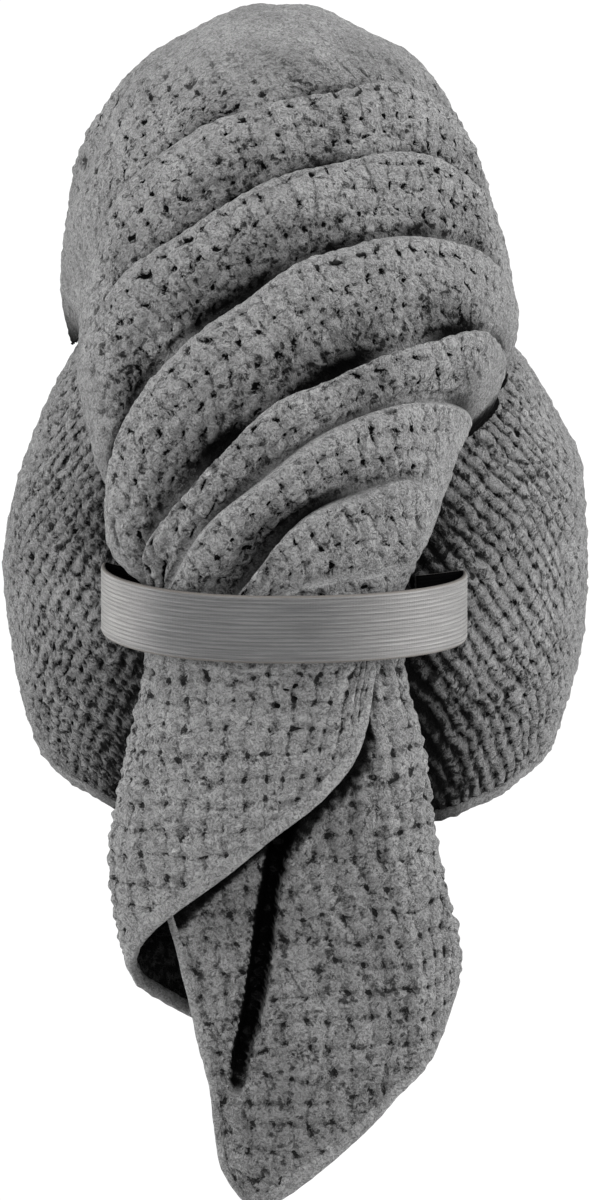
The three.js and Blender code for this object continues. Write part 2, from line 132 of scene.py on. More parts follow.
def waffle(u, v):
    """Height of the towelling over its cells, whose corners are pits."""
    x = np.abs(u % 1.0 - 0.5) * 2
    y = np.abs(v % 1.0 - 0.5) * 2
    corner = np.hypot((1 - x) * CELL_WIDE / 2, (1 - y) * CELL_TALL / 2)
    pit = np.exp(-((corner / 1.6) ** 2))
    return 0.28 * (2 - x * x - y * y) - 0.14 * x**8 - 0.1 * y**8 - 0.65 * pit - 0.3


def pile(points, u, v, seed):
    """Height of the towelling with its tufts, in millimetres."""
    return PUFF * (waffle(u, v) + 0.42 * tufts(points, seed))


def strayed(points, u, v, seed):
    """Cell places drawn out of their straight rows."""
    u = u + 0.13 * lumps(points, 16, seed) + 0.1 * lumps(points, 7, seed + 1)
    v = v + 0.13 * lumps(points, 16, seed + 2) + 0.1 * lumps(points, 7, seed + 3)
    return u, v


# Hood
HOOD_EDGE = table(
    "turn drop",
    [
        [0, 1.0],
        [45, 0.965],
        [90, 0.853],
        [120, 0.73],
        [150, 0.432],
        [180, 0.31],
    ],
)
HOOD_GATHERS = [
    [-58, 7, 1.6],
    [-42, 6, 2.4],
    [-28, 5, 2.2],
    [26, 5, 2.2],
    [38, 5, 2.8],
    [50, 6, 2.4],
    [66, 7, 1.6],
]
EAR = {"turn": 84, "width": 22, "level": 0.375, "height": 0.075, "out": 5}


def bulge(drop, widest, tuck):
    """Share of the full reach at a drop below the top, rounded above and tucked in below."""
    up = 1 - np.clip(drop, 0, widest) / widest
    down = np.clip((drop - widest) / tuck, 0, 0.9995)
    return np.where(drop < widest, np.sqrt(np.maximum(0, 1 - up * up)), np.sqrt(1 - down * down))


def hood_reach(drop, backwards):
    """Half width and depth of the hood at a drop below its top."""
    side = HOOD_WIDTH / 2 * bulge(drop, 0.6 * HOOD_LENGTH, 0.6 * HOOD_LENGTH)
    back = HOOD_BACK * bulge(drop, 0.493 * HOOD_LENGTH, 0.634 * HOOD_LENGTH)
    front = HOOD_FRONT * bulge(drop, 0.47 * HOOD_LENGTH, 0.892 * HOOD_LENGTH)
    return side, np.where(backwards, back, front)


def hood_outside(turn, v):
    """Outer face of the hood; turn runs round from the back and v from the top to the edge."""
    turn = (turn + 180) % 360 - 180
    drop = HOOD_LENGTH * along(HOOD_EDGE, "turn", "drop", np.abs(turn)) * (1 - np.cos(v * 90 * DEG))
    side, depth = hood_reach(drop, np.abs(turn) < 90)
    inward = 0.0
    for place, width, deep in HOOD_GATHERS:
        inward = inward + deep * np.exp(-(((turn - place) / width) ** 2))
    inward = inward * ease(drop, 0.66 * HOOD_LENGTH, 0.93 * HOOD_LENGTH)
    ear = ((turn - EAR["turn"]) / EAR["width"]) ** 2
    ear = ear + ((drop / HOOD_LENGTH - EAR["level"]) / EAR["height"]) ** 2
    inward = inward - EAR["out"] * np.exp(-ear)
    x = (side - inward) * np.sin(turn * DEG)
    y = -(depth - inward) * np.cos(turn * DEG)
    return np.stack([x, y, CLOTH - drop], axis=-1)


def hem_share(turn):
    """Share of v that the hood's hem takes at a turn."""
    turn = (turn + 180) % 360 - 180
    return HEM / (HOOD_LENGTH * along(HOOD_EDGE, "turn", "drop", np.abs(turn)) * 90 * DEG)


# Twist
TWIST_PATH = table(
    "turn rise wide deep lean",
    [
        [-50, 0.1, 0.3, 0.2, -0.02],
        [-44, 0.42, 0.56, 0.45, -0.02],
        [-31, 0.82, 0.8, 0.85, -0.03],
        [-13, 1.04, 0.93, 1.2, -0.05],
        [2, 1.07, 0.975, 1.28, -0.07],
        [20, 0.98, 0.94, 1.2, 0.005],
        [39, 0.82, 0.945, 0.98, -0.005],
        [54, 0.75, 0.87, 0.72, -0.04],
        [61, 0.73, 0.785, 0.64, -0.09],
        [71, 0.72, 0.73, 0.5, -0.105],
        [80, 0.71, 0.665, 0.39, -0.1],
        [86, 0.68, 0.55, 0.32, -0.083],
        [90, 0.68, 0.535, 0.32, -0.073],
    ],
)
# Turns of each crease at five places from left to right, then its depth at three
CREASES = np.array(
    [
        [-50.0, -50.0, -50.0, -50.0, -50.0, 0.0, 0.0, 0.0],
        [-31.0, -34.5, -38.0, -41.5, -45.0, 0.4, 0.4, 0.4],
        [-18.0, -22.0, -27.0, -33.0, -40.0, 0.5, 0.5, 0.5],
        [-3.0, -8.0, -14.0, -21.0, -30.0, 0.2, 0.35, 0.3],
        [11.0, 7.0, 2.0, -6.0, -16.0, 0.05, 0.25, 0.3],
        [21.0, 25.3, 24.3, 13.8, 3.5, 0.2, 0.9, 0.7],
        [42.9, 40.5, 34.2, 24.6, 14.9, 0.6, 1.05, 0.3],
        [73.7, 56.9, 45.5, 36.1, 27.5, 0.8, 1.1, 0.4],
        [93.0, 76.6, 63.0, 51.5, 38.7, 0.2, 1.15, 0.8],
        [99.0, 84.0, 70.5, 60.2, 55.9, 0.0, 0.6, 0.8],
        [140.0, 106.0, 79.5, 71.0, 71.0, 0.9, 1.1, 0.05],
        [155.0, 120.0, 90.0, 84.0, 82.0, 0.1, 0.2, 0.2],
        [170.0, 170.0, 170.0, 170.0, 170.0, 0.0, 0.0, 0.0],
    ]
)
FOLD = table(
    "place sink",
    [
        [0, 1],
        [0.05, 0.5],
        [0.13, 0.12],
        [0.26, 0],
        [0.42, 0.05],
        [0.6, 0.2],
        [0.85, 0.58],
        [0.95, 0.8],
        [1, 1],
    ],
)


def fan_point(x, turn, radius):
    """A point of the fan of planes about the band's level, from the front over to the back."""
    t = turn * DEG
    x, t, radius = np.broadcast_arrays(x, t, radius)
    return np.stack([x, -radius * np.sin(t), radius * np.cos(t) - BAND_LEVEL], axis=-1)


def hood_radius(x, turn):
    """Radius in the fan at which the hood's surface lies, by halving."""
    x, turn = np.broadcast_arrays(np.asarray(x, float), np.asarray(turn, float))
    low = np.zeros(x.shape)
    high = low + 2 * HOOD_LENGTH
    for _ in range(22):
        middle = (low + high) / 2
        p = fan_point(x, turn, middle)
        drop = CLOTH - p[..., 2]
        side, depth = hood_reach(drop, p[..., 1] < 0)
        size = (p[..., 0] / np.maximum(side, 1e-6)) ** 2 + (p[..., 1] / np.maximum(depth, 1e-6)) ** 2
        inside = (drop > 0) & (size < 1)
        low = np.where(inside, middle, low)
        high = np.where(inside, high, middle)
    return low


def twist_section(turn):
    """Lean, outer radius, half width and half depth of the twist at a turn."""
    half = TWIST_WIDTH / 2
    lean = along(TWIST_PATH, "turn", "lean", turn) * half
    outer = hood_radius(lean, turn) + along(TWIST_PATH, "turn", "rise", turn) * TWIST_RISE
    wide = along(TWIST_PATH, "turn", "wide", turn) * half
    return lean, outer, wide, along(TWIST_PATH, "turn", "deep", turn) * TWIST_RISE


def crease_turn(crease, angle):
    """Turn of a crease at an angle round the twist's section."""
    side = np.clip(angle / 90, -1, 1)
    stops = {"side": np.linspace(-1, 1, 5), "turn": crease[:5]}
    mean = (crease[0] + crease[4]) / 2
    turn = mix(along(stops, "side", "turn", side), mean, ease(np.abs(angle), 100, 170))
    return np.where(turn < 80, turn, 90 - 10 * np.exp((80 - np.maximum(turn, 80)) / 10))


def crease_depth(crease, angle):
    """Depth share of a crease at an angle round the section."""
    side = np.clip(angle / 90, -1, 1)
    return mix(crease[6], np.where(side < 0, crease[5], crease[7]), np.abs(side))


# Tail
UNDER_BAND = [float(x) for x in twist_section(90.0)]
TAIL_TOP = -BAND_LEVEL - GAP
TAIL_DEPTH = UNDER_BAND[1] - float(hood_radius(0.0, 90.0)) - 2
TAIL_MIDDLE = -(UNDER_BAND[1] - 0.2 - TAIL_DEPTH / 2)
TAIL_LEVELS = table(
    "level lean wide deep",
    [
        [0.0, -0.113, 0.775, 1.0],
        [0.07, -0.113, 0.775, 1.0],
        [0.226, -0.113, 0.9, 1.0],
        [0.4, -0.113, 0.99, 0.93],
        [0.578, -0.007, 1.0, 0.83],
        [0.663, 0.025, 0.935, 0.72],
        [0.85, 0.028, 0.8, 0.52],
        [1.0, 0.03, 0.72, 0.42],
    ],
)
TAIL_EDGE = table(
    "turn level",
    [
        [-60, 1.0],
        [-40, 0.982],
        [-20, 0.946],
        [0, 0.902],
        [20, 0.854],
        [40, 0.799],
        [60, 0.755],
        [90, 0.638],
        [135, 0.7],
        [180, 0.79],
        [210, 0.715],
        [240, 0.657],
        [270, 0.61],
        [308, 0.52],
        [341, 0.427],
        [361, 0.352],
        [379, 0.286],
        [395, 0.206],
        [411, 0.075],
    ],
)
START_DRIFT = table(
    "v turn",
    [[0, 0], [0.42, 3], [0.54, 8], [0.68, 15], [0.79, 20], [0.86, 20], [0.93, 22], [1, 36]],
)
CREVICE_HALF = 4.4
CREVICE = table(
    "v turn depth",
    [
        [0.0, 12, 0.2],
        [0.3, 8, 0.7],
        [0.38, 2, 1],
        [0.46, -3.7, 1],
        [0.54, -12, 1],
        [0.62, -21.2, 1],
        [0.7, -31.3, 0.9],
        [0.77, -40, 0.45],
        [0.82, -44, 0],
        [1.0, -46, 0],
    ],
)
TAIL_START = -60
TAIL_END = 411
HEM_TURN = 6


def tail_outside(turn, v, sunk=1.0):
    """Outer face of the tail; turn runs round once and laps over, v from the band to the edge."""
    turn, v = np.broadcast_arrays(np.asarray(turn, float), np.asarray(v, float))
    level = along(TAIL_EDGE, "turn", "level", turn) * v
    lean = along(TAIL_LEVELS, "level", "lean", level) * TAIL_WIDTH / 2
    wide = along(TAIL_LEVELS, "level", "wide", level) * TAIL_WIDTH / 2
    deep = along(TAIL_LEVELS, "level", "deep", level) * TAIL_DEPTH / 2
    start = np.maximum(0, 60 - turn) / 120
    around = (turn + along(START_DRIFT, "v", "turn", v) * start) * DEG
    lap = FLAP_LAP * (1 - ease(turn, 52, 100)) * (1 - ease(level, 0.52, 0.75))
    place = along(CREVICE, "v", "turn", v)
    valley = np.maximum(0, 1 - np.abs(turn - place) / CREVICE_HALF) ** 0.7
    sink = sunk * np.minimum(CREVICE_DEPTH * along(CREVICE, "v", "depth", v) * valley, deep * 0.8)
    x = lean + (wide - lap) * np.sin(around)
    y = TAIL_MIDDLE - (deep - lap - sink) * np.cos(around)
    return np.stack([x, y, TAIL_TOP - level * TAIL_LENGTH], axis=-1)


def hem_drop(turn):
    """Share of v that the tail's hem takes at a turn, longer where the edge slants."""
    length = TAIL_LENGTH * along(TAIL_EDGE, "turn", "level", turn)
    ahead = TAIL_LENGTH * along(TAIL_EDGE, "turn", "level", turn + 2)
    behind = TAIL_LENGTH * along(TAIL_EDGE, "turn", "level", turn - 2)
    arc = np.hypot(TAIL_WIDTH * np.cos(turn * DEG), TAIL_DEPTH * np.sin(turn * DEG)) / 2
    return HEM / length * np.minimum(2, np.hypot(1, (ahead - behind) / 4 / (arc * DEG)))


# Meshes
def quads(rows, cols, closed, first=0):
    """Faces of a grid of points stored row by row."""
    r, c = np.meshgrid(np.arange(rows - 1), np.arange(cols if closed else cols - 1), indexing="ij")
    n = (c + 1) % cols
    corners = [r * cols + c, (r + 1) * cols + c, (r + 1) * cols + n, r * cols + n]
    return (first + np.stack(corners, -1)).reshape(-1, 4)


def end_caps(rows, cols):
    """The faces that close the first and the last ring of a tube."""
    last = rows * cols
    return [list(range(cols)), list(range(last - 1, last - cols - 1, -1))]


def bridge(a, b):
    """Triangles between two open runs of vertex numbers of different counts."""
    faces = []
    i = j = 0
    while i < len(a) - 1 or j < len(b) - 1:
        if j == len(b) - 1 or (i < len(a) - 1 and (i + 1) * (len(b) - 1) <= (j + 1) * (len(a) - 1)):
            faces.append([a[i], b[j], a[i + 1]])
            i += 1
        else:
            faces.append([a[i], b[j], b[j + 1]])
            j += 1
    return faces


def build(name, points, faces, uvs=None, painted_shade=None, calm=None):
    """A smooth object from millimetre points; uvs has one pair for every corner of the first faces."""
    mesh = bpy.data.meshes.new(name)
    mesh.from_pydata((np.asarray(points) * 0.001).tolist(), [], [list(map(int, f)) for f in faces])
    mesh.update()
    if uvs is not None:
        layer = mesh.uv_layers.new(name="cells")
        flat = np.full((len(mesh.loops), 2), 0.5)
        flat[: len(uvs)] = uvs
        layer.data.foreach_set("uv", flat.ravel())
    # Each point's share of painted shade, which darkens its colour where shade falls, and its share of
    # calm pile.
    for label, given in (("painted_shade", painted_shade), ("calm", calm)):
        share = np.zeros(len(mesh.vertices))
        if given is not None:
            share[: len(given)] = given
        mesh.attributes.new(label, "FLOAT", "POINT").data.foreach_set("value", share)
    mesh.polygons.foreach_set("use_smooth", np.ones(len(mesh.polygons), bool))
    obj = bpy.data.objects.new(name, mesh)
    bpy.context.collection.objects.link(obj)
    bpy.context.view_layer.objects.active = obj
    obj.select_set(True)
    bpy.ops.object.mode_set(mode="EDIT")
    bpy.ops.mesh.select_all(action="SELECT")
    bpy.ops.mesh.normals_make_consistent(inside=False)
    bpy.ops.object.mode_set(mode="OBJECT")
    obj.select_set(False)
    return obj


def lengths(grid, axis):
    """Running length along one axis of a grid of points, from its first place."""
    step = np.linalg.norm(np.diff(grid, axis=axis), axis=2)
    zero = np.zeros_like(np.take(step, [0], axis=axis))
    return np.concatenate([zero, np.cumsum(step, axis=axis)], axis=axis)


def corner_pairs(u, v, closed):
    """The cell places at the four corners of each face of a grid."""
    if closed:
        u = np.concatenate([u, 2 * u[:, -1:] - u[:, -2:-1]], axis=1)
        v = np.concatenate([v, 2 * v[:, -1:] - v[:, -2:-1]], axis=1)
    pair = [np.stack([w[:-1, :-1], w[1:, :-1], w[1:, 1:], w[:-1, 1:]], -1).reshape(-1) for w in (u, v)]
    return np.stack(pair, -1)


def shell(name, outer, inner, closed, cells, painted_shade, inner_painted_shade, calm, pole=False):
    """A closed cloth from a fine outside grid and a coarser inside grid."""
    rows, cols = outer.shape[:2]
    deep, wide = inner.shape[:2]
    points = [outer.reshape(-1, 3), inner.reshape(-1, 3)]
    a = np.arange(rows * cols).reshape(rows, cols)
    b = rows * cols + np.arange(deep * wide).reshape(deep, wide)
    edges = []
    if closed:
        edges += bridge(list(a[-1]) + [a[-1, 0]], list(b[-1]) + [b[-1, 0]])
    else:
        for x, y in ((a[0], b[0]), (a[-1], b[-1]), (a[:, 0], b[:, 0]), (a[:, -1], b[:, -1])):
            edges += bridge(list(x), list(y))
    if pole:
        top = rows * cols + deep * wide
        points.append(np.array([outer[0].mean(axis=0), inner[0].mean(axis=0)]))
        edges += [[top, a[0, i], a[0, (i + 1) % cols]] for i in range(cols)]
        edges += [[top + 1, b[0, (i + 1) % wide], b[0, i]] for i in range(wide)]
    faces = quads(rows, cols, closed).tolist() + quads(deep, wide, closed, rows * cols).tolist() + edges
    # Painted shade on the outside points, and one even painted shade over the inside face.
    shade = np.concatenate([np.broadcast_to(painted_shade, (rows, cols)).ravel(), np.full(deep * wide, inner_painted_shade)])
    calm = np.broadcast_to(calm, (rows, cols)).ravel()
    return build(name, np.concatenate(points), faces, corner_pairs(*cells, closed), shade, calm)


def hood_painted_shade(points):
    """Painted shade where the hood runs in under the twist and behind the tail."""
    x, y, z = points[..., 0], points[..., 1], points[..., 2]
    turn = np.clip(np.degrees(np.arctan2(-y, z + BAND_LEVEL)), 0, 90)
    lean, _, wide, _ = twist_section(turn)
    level = (TAIL_TOP - z) / TAIL_LENGTH
    lower = ease(z, -BAND_LEVEL - 4, -BAND_LEVEL + 12)
    lean = mix(along(TAIL_LEVELS, "level", "lean", level) * TAIL_WIDTH / 2, lean, lower)
    wide = mix(along(TAIL_LEVELS, "level", "wide", level) * TAIL_WIDTH / 2, wide, lower)
    away = np.maximum(np.abs(x - lean) - wide, 0)
    deep = 0.42 * np.exp(-((away / 10) ** 1.5)) + 0.45 * np.exp(-((away / 36) ** 1.8))
    lower = mix(0.08, 0.5, ease(-z, 55, 105)) + 0.2 * ease(-z, 105, 135)
    righter = 1 + 0.3 * ease(x, -25, 25)
    return np.where(y < 20, deep * lower * righter, 0)


def make_hood():
    cols, rows = 372, 150
    turn = np.linspace(-180, 180, cols, endpoint=False)[None, :]
    place = np.linspace(0.012, 1, rows)[:, None]
    base = hood_outside(turn + 0 * place, place * (1 - 0.8 * hem_share(turn)))
    normal = grid_normals(base, True)
    down = lengths(base, 0)
    around = np.abs(turn) * DEG * 100 + 0 * place
    u = (around + down) * 0.7071 / CELL_WIDE
    v = (around - down) * 0.7071 / RIB_TALL
    u, v = strayed(base, u, v, 60)
    limb = 0.6 * np.exp(-(((np.abs(turn) - 90) / 16) ** 2)) + 0 * place
    quiet = ease(place, 0.02, 0.2) * (1 - ease(place, 0.98, 1)) * (1 - 0.6 * limb)
    soft = 1.3 * lumps(base, 50, 3) * ease(place, 0.3, 0.6) * (1 - ease(place, 0.9, 1)) - 1.0
    behind = (1 - ease(np.abs(turn), 62, 88)) * ease(place, 0.1, 0.3)
    groove = (0.5 + 0.5 * np.cos(2 * math.pi * v)) * behind
    lift = np.maximum(pile(base, u, v, 21) * quiet + soft - 0.9 * groove, -2.3)
    outer = base + normal * lift[..., None]
    coarse_turn = np.linspace(-180, 180, 124, endpoint=False)[None, :]
    coarse_place = np.linspace(0.012, 1, 50)[:, None]
    inside = hood_outside(coarse_turn + 0 * coarse_place, coarse_place * (1 - hem_share(coarse_turn)))
    inner = inside - grid_normals(inside, True) * CLOTH
    # Painted shade where the hood runs under the twist and behind the tail, and in the grooves between its
    # ridges; the inside face gets a light painted shade.
    painted_shade = hood_painted_shade(base) + 0.45 * groove**2
    return shell("hood_cloth", outer, inner, True, (u, v), painted_shade, 0.3, limb, pole=True)


def make_twist():
    seen = np.linspace(-118, 118, 240)
    hidden = np.linspace(118, 242, 26)[1:-1]
    angle = np.concatenate([seen, np.where(hidden > 180, hidden - 360, hidden)])
    angle = np.sort(angle)[None, :]
    middle = np.abs(angle).argmin()
    shown = 1 - ease(np.abs(angle), 95, 140)
    points, painted_shades, calms, uvs = [], [], [], []
    for i, (above, below) in enumerate(zip(CREASES[:-1], CREASES[1:])):
        first, last = crease_turn(above, angle), crease_turn(below, angle)
        size = float(np.max((last - first)[0, 16:-16])) * DEG * 165
        count = max(6, int(size / (1.34 if above[2] > -10 else 3.0)))
        place = np.linspace(0, 1, count + 1)[:, None]
        turn = mix(first, last, place)
        free = 1 - ease(turn, 84, 89.5)
        depth = mix(crease_depth(above, angle), crease_depth(below, angle), ease(place, 0.2, 0.85))
        sink = FOLD_DEPTH * along(FOLD, "place", "sink", place) * depth * shown * free
        lean, outer, wide, deep = twist_section(turn)
        x = lean + (wide - 0.4 * sink) * np.sin(angle * DEG)
        radius = outer - deep + (deep - sink) * np.cos(angle * DEG)
        radius = np.maximum(radius, hood_radius(x, turn) + SEAT)
        base = fan_point(x, turn, radius)
        row = lengths(base, 1)
        row = row - row[:, middle : middle + 1]
        col = lengths(base, 0)
        step_row = np.gradient(base, axis=1)
        step_col = np.gradient(base, axis=0)
        sizes = np.linalg.norm(step_row, axis=2) * np.linalg.norm(step_col, axis=2) + 1e-6
        lie = np.sum(step_row * step_col, axis=2) / sizes
        u = (row + col * lie) / CELL_WIDE + 0.37 * i
        v = col * np.sqrt(np.maximum(0.05, 1 - lie * lie)) / CELL_TALL + 0.5
        u, v = strayed(base, u, v, 80)
        near = ease(place, 0.0, 0.08) * (1 - ease(place, 0.94, 1.0))
        swell = 1.2 * lumps(base, 42, 11) * ease(base[..., 2], -118, -100)
        still = np.maximum(1 - ease(place, 0.05, 0.25), 0.8 * ease(np.abs(angle), 55, 85))
        still = 0.9 * np.maximum(still, ease(base[..., 2], 44, 74))
        lift = (pile(base, u, v, 5 + i) * near * (1 - 0.7 * still) + swell - 1.0) * shown
        # Painted shade on the lower part of each fold, darkest in its crease, and on the twist's underside
        # beyond its sides.
        painted_fold_shade = 0.46 * ease(place, 0.25, 0.88) + 0.42 * ease(place, 0.86, 0.98)
        painted_fold_shade = np.maximum(painted_fold_shade, 1 - ease(place, 0.0, 0.035)) * np.minimum(depth, 1) * free
        painted_fold_shade = painted_fold_shade * (0.8 + 0.3 * lumps(base, 30, 9))
        painted_shade = np.maximum(painted_fold_shade, ease(np.abs(angle), 92, 110))
        keep = slice(0, count if i < len(CREASES) - 2 else count + 1)
        points.append((base[keep], lift[keep]))
        painted_shades.append(np.clip(painted_shade, 0, 1)[keep])
        calms.append(still[keep])
        uvs.append(corner_pairs(u, v, True))
    base = np.concatenate([p[0] for p in points])
    lift = np.concatenate([p[1] for p in points])
    grid = base + grid_normals(base, True) * lift[..., None]
    rows, cols = grid.shape[:2]
    ends = rows * cols
    last = ends - cols
    faces = quads(rows, cols, True).tolist()
    faces += [[ends, i, (i + 1) % cols] for i in range(cols)]
    faces += [[ends + 1, last + (i + 1) % cols, last + i] for i in range(cols)]
    middles = np.array([grid[0].mean(axis=0), grid[-1].mean(axis=0)])
    painted_shade = np.concatenate(painted_shades).ravel()
    calm = np.concatenate(calms).ravel()
    points = np.concatenate([grid.reshape(-1, 3), middles])
    return build("twist_cloth", points, faces, np.concatenate(uvs), painted_shade, calm)


def tail_turns(count, v):
    """Turns of the tail's mesh columns, crowded towards the crevice."""
    place = along(CREVICE, "v", "turn", v)
    share = np.linspace(0, 1, count)[None, :]
    turn = mix(TAIL_START + HEM_TURN * 0.8, TAIL_END - HEM_TURN * 0.8, share) + 0 * v
    reach = CREVICE_HALF + 6
    near = (turn - place) / reach
    pull = np.where(np.abs(near) < 1, np.sin(math.pi * near) * reach * 0.16, 0)
    return turn - pull * (place - reach > TAIL_START + HEM_TURN)


def make_tail():
    v = np.linspace(0, 1, 158)[:, None]
    turn = tail_turns(330, v)
    base = tail_outside(turn, v * (1 - 0.8 * hem_drop(turn)))
    normal = grid_normals(base, False)
    level = along(TAIL_EDGE, "turn", "level", turn) * v
    place = along(CREVICE, "v", "turn", v)
    valley = np.maximum(0, 1 - np.abs(turn - place) / CREVICE_HALF) * along(CREVICE, "v", "depth", v)
    around = lengths(tail_outside(turn, v * (1 - 0.8 * hem_drop(turn)), 0.0), 1)
    starts = [np.array([[np.interp(at, t, a)] for t, a in zip(turn, around)]) for at in (22, 345)]
    turnover = starts[1].mean() - starts[0].mean()
    u = (around - mix(starts[0], starts[1] - turnover, ease(turn, 60, 300))) / CELL_WIDE
    w = level * TAIL_LENGTH / CELL_TALL
    u, w = strayed(base, u, w, 90)
    edge = np.minimum(np.minimum(v * 30, (1 - v) * 30), 1) * np.clip((turn - TAIL_START - 6) / 2, 0, 1)
    edge = edge * np.clip((TAIL_END - 6 - turn) / 2, 0, 1)
    calm = ease(np.abs(turn - place), 1.5, 6.5)
    soft = 1.1 * lumps(base, 44, 5) * ease(v, 0.1, 0.3)
    outer = base + normal * ((pile(base, u, w, 8) * calm + soft) * edge - 0.9)[..., None]
    # Painted shadow below the flap's edge, painted shade in the crevice and on the under-layer's panel
    # below the flap.
    over = np.clip(turn + 360, 308, TAIL_END)
    under = (level - along(TAIL_EDGE, "turn", "level", over)) * TAIL_LENGTH
    drop = along(TAIL_EDGE, "turn", "level", over - 1) - along(TAIL_EDGE, "turn", "level", over + 1)
    slant = drop * TAIL_LENGTH / (1.5 * np.cos(np.clip(turn, -60, 60) * DEG))
    clear = under / np.hypot(1, slant) + (0.9 * tufts(base, 78) - 4.2) * ease(turn, -12, 5)
    fall = 1.8 + 1.3 * ease(turn, -14, 4) + 2.0 * np.exp(-(((turn - 6) / 7) ** 2))
    shadow = np.exp(-((np.maximum(clear, 0) / fall) ** 2)) * (1 - ease(turn, 54, 62))
    deep = ease(valley + 0.1 * tufts(base, 77) * (valley > 0), 0.02, 0.24)
    painted_panel_shade = 0.3 * (1 - ease(turn, 50, 58)) * ease(under, 0, 2)
    painted_shade = np.clip(np.maximum(np.maximum(shadow * 0.97, deep), painted_panel_shade), 0, 1)
    inside_v = np.linspace(0, 1, 60)[:, None]
    inside_turn = tail_turns(130, inside_v)
    inside = tail_outside(inside_turn, inside_v * (1 - 0.8 * hem_drop(inside_turn)))
    inner = inside - grid_normals(inside, False) * CLOTH * 0.9
    # The inside face gets a deep painted shade.
    return shell("tail_cloth", outer, inner, False, (u, w), painted_shade, 0.85, 0.1)


# Hem section: how far in from the cloth's edge and how high off its face, in shares
HEM_SECTION = [
    [1.0, -0.24],
    [0.85, -0.21],
    [0.55, -0.18],
    [0.3, -0.2],
    [0.12, -0.3],
    [0.03, -0.48],
    [0.02, -0.7],
    [0.1, -0.95],
    [0.4, -1.1],
    [1.0, -1.02],
]


def hem_tube(name, surface, lines, closed, shade):
    """A turned hem; lines gives the surface places at one inset from the edge."""
    rings = []
    for inset, rise in HEM_SECTION:
        a, b = lines(inset)
        across = surface(a + 0.5, b) - surface(a - 0.5, b)
        down = surface(a, b + 0.004) - surface(a, b - 0.004)
        n = np.cross(down, across)
        n /= np.linalg.norm(n, axis=-1, keepdims=True) + 1e-9
        ring = surface(a, b)
        rings.append(ring + n * (rise * CLOTH + 0.3 * tufts(ring, 31))[..., None])
    grid = np.stack(rings, axis=1)
    rows, cols = grid.shape[:2]
    if closed:
        grid = np.concatenate([grid, grid[:1]])
    faces = quads(len(grid), cols, True)
    if closed:
        faces = (faces % (rows * cols)).tolist()
        grid = grid[:-1]
    else:
        faces = faces.tolist() + end_caps(rows, cols)
    # Painted shade: a little on the hem's outer face and more on its turned-under face, raised to the
    # given painted shade where that is deeper.
    painted_shade = np.maximum(np.array([0.1] * 5 + [0.4] * 5), shade(grid))
    return build(name, grid.reshape(-1, 3), faces, None, painted_shade.ravel(), np.ones(rows * cols))


def make_hood_hem():
    turns = np.linspace(-180, 180, 420, endpoint=False)

    def lines(inset):
        return turns, 1 - hem_share(turns) * inset

    return hem_tube("hood_hem_cloth", hood_outside, lines, True, hood_painted_shade)


def make_tail_hem():
    side = np.linspace(0, 1, 150, endpoint=False)
    bottom = np.linspace(0, 1, 460)
    up = np.linspace(1, 0, 16)[1:]
    run = np.concatenate([0 * side, bottom, 0 * up + 1])
    v = np.concatenate([side, 0 * bottom + 1, up])

    def lines(inset):
        turn = mix(TAIL_START + HEM_TURN * inset, TAIL_END - HEM_TURN * inset, run)
        return turn, v * (1 - inset * hem_drop(turn))

    return hem_tube("tail_hem_cloth", tail_outside, lines, False, lambda grid: 0 * grid[..., 0])


def hood_back_at(x, z):
    """Place along y of the hood's back."""
    side, depth = hood_reach(CLOTH - z, True)
    return -depth * np.sqrt(np.maximum(0, 1 - (x / side) ** 2))


